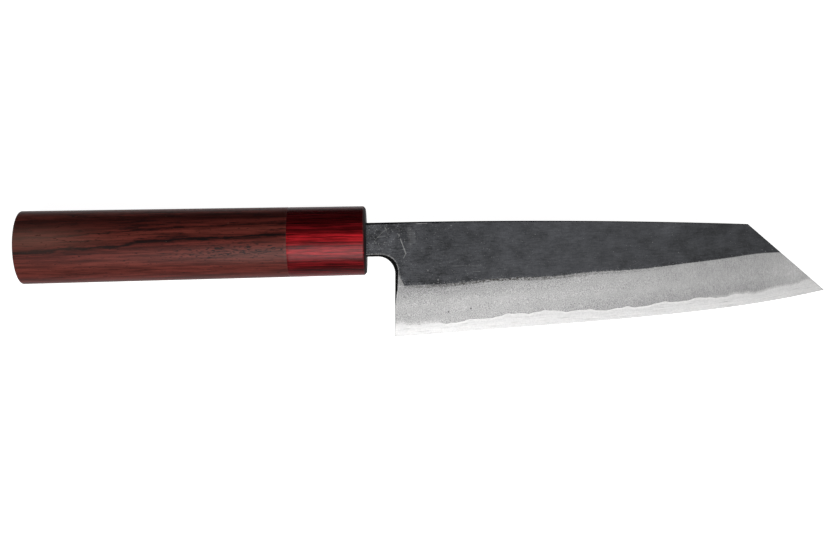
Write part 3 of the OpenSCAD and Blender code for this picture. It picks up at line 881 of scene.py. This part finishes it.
for node, material in (("dowel", plain_fill("beech dowel", "#b98f5e", "#d0aa78", 3, 0.6)),
                       ("tang_bedding", plain_fill("amber resin", "#6a4420", "#8c6236", 4, 0.25)),
                       ("mouth_seal", plain_fill("black wax", "#0b0a0a", "#1a1816", 2, 0.35))):
    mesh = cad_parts[node].data
    mesh.materials.clear()
    mesh.materials.append(material)

# Floor and light
# A white table, and one large soft lamp on the side of the edge, which makes the bright band on the
# handle. A low fill on the other side lights the spine's side of the handle, and isn't seen in
# reflections. The room is white to the camera, and reflects as pale walls past the knife's two ends.

board_glow = 0.97


def white_table():
    """Matt white board: it lights the knife from below and looks white to the camera. In reflections it
    is bright beside the knife and fades away from it."""
    material, tree, shader = new_material("white table")
    tree.nodes.remove(shader)
    path = add(tree, "LightPath")
    mirrored = add(tree, "Math", {0: path.outputs["Is Glossy Ray"], 1: path.outputs["Is Transmission Ray"]},
                   operation="MAXIMUM")
    where = add(tree, "TexCoord").outputs["Object"]
    across = add(tree, "SeparateXYZ", {0: where}).outputs[1]
    spread = add(tree, "MapRange", {"Value": across, "From Min": -0.1, "From Max": 0.2})
    near = add(tree, "ValToRGB", {"Fac": spread}, stops=[
        (0.1, (0.06, 0.06, 0.06, 1)), (0.25, (0.34, 0.34, 0.34, 1)), (0.34, (0.76, 0.76, 0.76, 1)),
        (0.52, (0.76, 0.76, 0.76, 1)), (0.7, (0.15, 0.15, 0.15, 1)), (1.0, (0, 0, 0, 1))])
    mirrored = add(tree, "Math", {0: mirrored, 1: near}, operation="MULTIPLY")
    seen = add(tree, "Math", {0: path.outputs["Is Camera Ray"], 1: mirrored}, operation="MAXIMUM")
    grain = add(tree, "TexNoise", {"Scale": 900.0})
    board = add(tree, "ValToRGB", {"Fac": grain}, stops=[(0.0, tone("#dadada")), (1.0, tone("#e0e0e0"))])
    colour = add(tree, "Mix", {"Factor": path.outputs["Is Glossy Ray"], "A": board, "B": tone("#606060")},
                 data_type="RGBA")
    diffuse = add(tree, "BsdfDiffuse", {"Color": colour})
    strength = add(tree, "Math", {0: seen, 1: board_glow}, operation="MULTIPLY")
    glow = add(tree, "Emission", {"Strength": strength})
    both = add(tree, "AddShader", {0: diffuse, 1: glow})
    feed(tree, tree.nodes["Material Output"], {"Surface": both})
    return material


table_size = 6.0
corners = [(-table_size, -table_size, 0), (table_size, -table_size, 0), (table_size, table_size, 0),
           (-table_size, table_size, 0)]
table_mesh = bpy.data.meshes.new("table")
table_mesh.from_pydata(corners, [], [(0, 1, 2, 3)])
table_mesh.materials.append(white_table())
table = bpy.data.objects.new("table", table_mesh)
bpy.context.scene.collection.objects.link(table)


def hang_lamp(name, along, tilt, reach, length, width, radiance):
    """Flat soft lamp that faces the middle of the knife. It stands at the reach from there, leaning by
    the tilt, in degrees, from straight above towards the side of the edge."""
    tilt = math.radians(tilt)
    lamp = bpy.data.lights.new(name, "AREA")
    lamp.shape = "RECTANGLE"
    lamp.size = length
    lamp.size_y = width
    lamp.energy = radiance * math.pi * length * width
    holder = bpy.data.objects.new(name, lamp)
    holder.location = (along, -reach * math.sin(tilt), reach * math.cos(tilt))
    holder.rotation_euler = (tilt, 0, 0)
    bpy.context.scene.collection.objects.link(holder)
    return holder


hang_lamp("soft lamp", 0.24, tilt=46, reach=1.1, length=1.04, width=0.76, radiance=3.8)
fill = hang_lamp("low fill", 0, tilt=-68, reach=0.9, length=0.8, width=0.4, radiance=0.8)
fill.visible_glossy = False
world = bpy.data.worlds.new("room")
bpy.context.scene.world = world
world.use_nodes = True
tree = world.node_tree
room = tree.nodes["Background"]
path = add(tree, "LightPath")
direction = add(tree, "TexCoord").outputs["Generated"]
lengthwise = add(tree, "SeparateXYZ", {0: direction})
lengthwise = add(tree, "Math", {0: lengthwise}, operation="ABSOLUTE")
wall = add(tree, "MapRange", {"Value": lengthwise, "From Min": 0.45, "From Max": 0.7, "To Max": 0.8})
mirrored = add(tree, "Math", {0: wall, 1: path.outputs["Is Glossy Ray"], 2: 0.002},
               operation="MULTIPLY_ADD")
strength = add(tree, "Math", {0: path.outputs["Is Camera Ray"], 1: mirrored}, operation="MAXIMUM")
feed(tree, room, {"Color": (1, 1, 1, 1), "Strength": strength})

# Camera
# It stands 0.41 m from the blade, looks squarely at the right face and is turned a little in the picture.
camera_place = np.array([19.05, -14.65, 410.0])
camera_turn = math.radians(-1.185)
picture_width = 833
pixels_per_unit = 1063.5
camera = bpy.data.cameras.new("camera")
camera.sensor_width = 36
camera.lens = camera.sensor_width * pixels_per_unit / picture_width
camera_holder = bpy.data.objects.new("camera", camera)
camera_holder.location = lie_down(camera_place)
lean = Matrix.Rotation(nose_down, 3, "Y") @ Matrix.Rotation(roll, 3, "X")
camera_holder.rotation_euler = (lean @ Matrix.Rotation(camera_turn, 3, "Z")).to_euler()
bpy.context.scene.collection.objects.link(camera_holder)
bpy.context.scene.camera = camera_holder
bpy.context.scene.view_settings.view_transform = "Standard"
